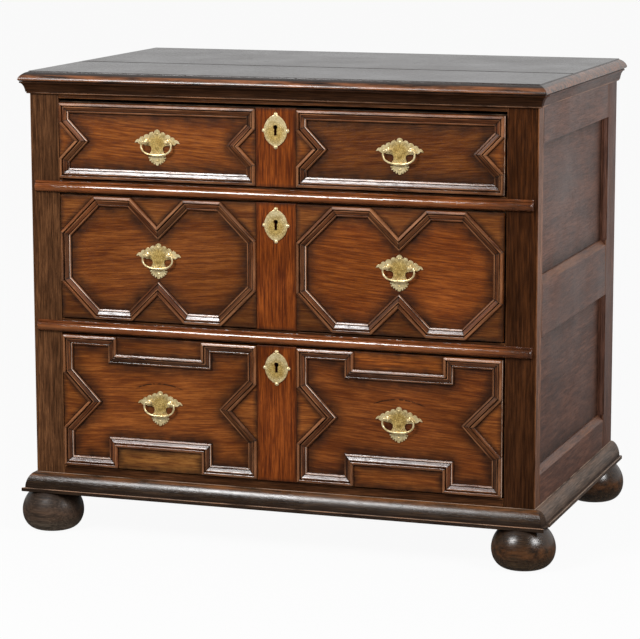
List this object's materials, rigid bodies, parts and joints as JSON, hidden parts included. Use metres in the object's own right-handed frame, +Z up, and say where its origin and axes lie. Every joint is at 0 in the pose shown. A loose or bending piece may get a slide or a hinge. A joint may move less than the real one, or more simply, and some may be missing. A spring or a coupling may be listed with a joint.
{
  "type": "chest of drawers",
  "caption": "Low joined oak chest of drawers with geometric mitred mouldings on the drawer fronts, panelled sides, drop bail handles, key plates and bun feet.",
  "frame": {"origin": "on the floor, under the middle of the whole chest, feet included", "axes": "+X to the right as seen from the front, +Y to the back, +Z up"},
  "size_m": [1.005, 0.643, 0.842],
  "materials": {
    "dark_oak": "polished",
    "brown_oak": "polished",
    "plain_oak": "unfinished",
    "black_oak": "polished",
    "brass": "cast and engraved",
    "iron": "wrought"
  },
  "bodies": {
    "carcass": {"top_front_board": "dark_oak", "top_rear_board": "dark_oak", "cornice_moulding": "dark_oak", "left_front_stile": "dark_oak", "right_front_stile": "dark_oak", "left_rear_stile": "dark_oak", "right_rear_stile": "dark_oak", "frieze_rail": "brown_oak", "upper_divider_rail": "brown_oak", "lower_divider_rail": "brown_oak", "front_bottom_rail": "brown_oak", "left_side_top_rail": "dark_oak", "left_side_middle_rail": "dark_oak", "left_side_bottom_rail": "dark_oak", "right_side_top_rail": "dark_oak", "right_side_middle_rail": "dark_oak", "right_side_bottom_rail": "dark_oak", "left_upper_side_panel": "dark_oak", "left_lower_side_panel": "dark_oak", "right_upper_side_panel": "dark_oak", "right_lower_side_panel": "dark_oak", "back_board": "plain_oak", "base_moulding": "black_oak", "left_front_foot": "black_oak", "left_rear_foot": "black_oak", "right_front_foot": "black_oak", "right_rear_foot": "black_oak"},
    "top_drawer": {"top_drawer_front": "brown_oak", "top_drawer_left_side": "plain_oak", "top_drawer_right_side": "plain_oak", "top_drawer_back": "plain_oak", "top_drawer_bottom": "plain_oak", "top_left_plate": "brass", "top_right_plate": "brass", "top_escutcheon": "brass"},
    "top_left_bail": {"top_left_bail": "brass"},
    "top_right_bail": {"top_right_bail": "brass"},
    "top_lock_bolt": {"top_lock_bolt": "iron"},
    "middle_drawer": {"middle_drawer_front": "brown_oak", "middle_drawer_left_side": "plain_oak", "middle_drawer_right_side": "plain_oak", "middle_drawer_back": "plain_oak", "middle_drawer_bottom": "plain_oak", "middle_left_plate": "brass", "middle_right_plate": "brass", "middle_escutcheon": "brass"},
    "middle_left_bail": {"middle_left_bail": "brass"},
    "middle_right_bail": {"middle_right_bail": "brass"},
    "middle_lock_bolt": {"middle_lock_bolt": "iron"},
    "bottom_drawer": {"bottom_drawer_front": "brown_oak", "bottom_drawer_left_side": "plain_oak", "bottom_drawer_right_side": "plain_oak", "bottom_drawer_back": "plain_oak", "bottom_drawer_bottom": "plain_oak", "bottom_left_plate": "brass", "bottom_right_plate": "brass", "bottom_escutcheon": "brass"},
    "bottom_left_bail": {"bottom_left_bail": "brass"},
    "bottom_right_bail": {"bottom_right_bail": "brass"},
    "bottom_lock_bolt": {"bottom_lock_bolt": "iron"}
  },
  "joints": [
    {"name": "top_drawer_slide", "type": "slide", "parent": "carcass", "child": "top_drawer", "axis": [0, -1, 0], "range_m": [0, 0.4]},
    {"name": "top_left_bail_hinge", "type": "hinge", "parent": "top_drawer", "child": "top_left_bail", "pos_m": [-0.2245, -0.2889, 0.7225], "axis": [-1, 0, 0], "range_deg": [0, 150]},
    {"name": "top_right_bail_hinge", "type": "hinge", "parent": "top_drawer", "child": "top_right_bail", "pos_m": [0.2245, -0.2889, 0.7225], "axis": [-1, 0, 0], "range_deg": [0, 150]},
    {"name": "top_lock_bolt_slide", "type": "slide", "parent": "top_drawer", "child": "top_lock_bolt", "axis": [0, 0, 1], "range_m": [0, 0.01]},
    {"name": "middle_drawer_slide", "type": "slide", "parent": "carcass", "child": "middle_drawer", "axis": [0, -1, 0], "range_m": [0, 0.4]},
    {"name": "middle_left_bail_hinge", "type": "hinge", "parent": "middle_drawer", "child": "middle_left_bail", "pos_m": [-0.2245, -0.2889, 0.5195], "axis": [-1, 0, 0], "range_deg": [0, 150]},
    {"name": "middle_right_bail_hinge", "type": "hinge", "parent": "middle_drawer", "child": "middle_right_bail", "pos_m": [0.2245, -0.2889, 0.5195], "axis": [-1, 0, 0], "range_deg": [0, 150]},
    {"name": "middle_lock_bolt_slide", "type": "slide", "parent": "middle_drawer", "child": "middle_lock_bolt", "axis": [0, 0, 1], "range_m": [0, 0.01]},
    {"name": "bottom_drawer_slide", "type": "slide", "parent": "carcass", "child": "bottom_drawer", "axis": [0, -1, 0], "range_m": [0, 0.4]},
    {"name": "bottom_left_bail_hinge", "type": "hinge", "parent": "bottom_drawer", "child": "bottom_left_bail", "pos_m": [-0.2245, -0.2889, 0.2515], "axis": [-1, 0, 0], "range_deg": [0, 150]},
    {"name": "bottom_right_bail_hinge", "type": "hinge", "parent": "bottom_drawer", "child": "bottom_right_bail", "pos_m": [0.2245, -0.2889, 0.2515], "axis": [-1, 0, 0], "range_deg": [0, 150]},
    {"name": "bottom_lock_bolt_slide", "type": "slide", "parent": "bottom_drawer", "child": "bottom_lock_bolt", "axis": [0, 0, 1], "range_m": [0, 0.01]}
  ]
}
